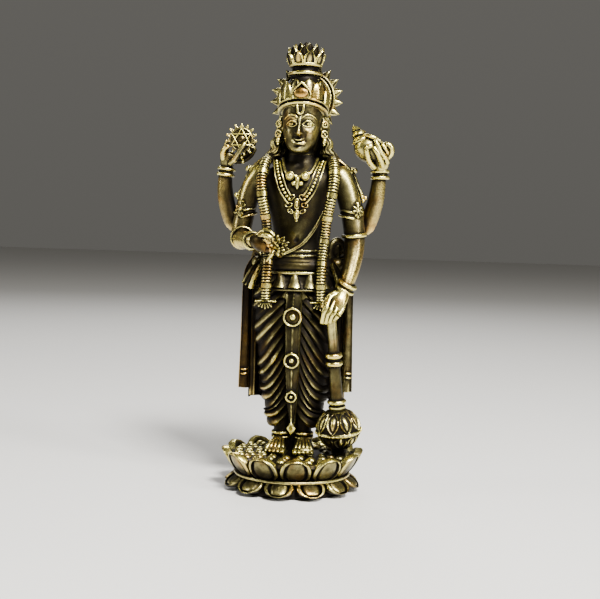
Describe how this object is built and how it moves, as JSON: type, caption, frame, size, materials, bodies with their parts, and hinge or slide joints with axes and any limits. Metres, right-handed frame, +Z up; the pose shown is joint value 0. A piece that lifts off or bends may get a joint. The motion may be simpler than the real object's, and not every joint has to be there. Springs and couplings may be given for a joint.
{
  "type": "vishnu figure",
  "caption": "Small cast brass Vishnu standing on a round lotus plinth, with a wheel, a conch, a lotus bud and a mace in the hands and a tall crown backed by a rayed disc.",
  "frame": {"origin": "centre of the plinth's flat underside", "axes": "+Z up, the figure faces -Y, and +X is the figure's own left, the side of the mace and the conch"},
  "size_m": [0.034, 0.027, 0.0844],
  "materials": {
    "brass": "antique brass: rubbed bright on the high forms, with a near-black patina in the recesses"
  },
  "bodies": {
    "root": {"vishnu_casting": "brass"}
  },
  "joints": []
}
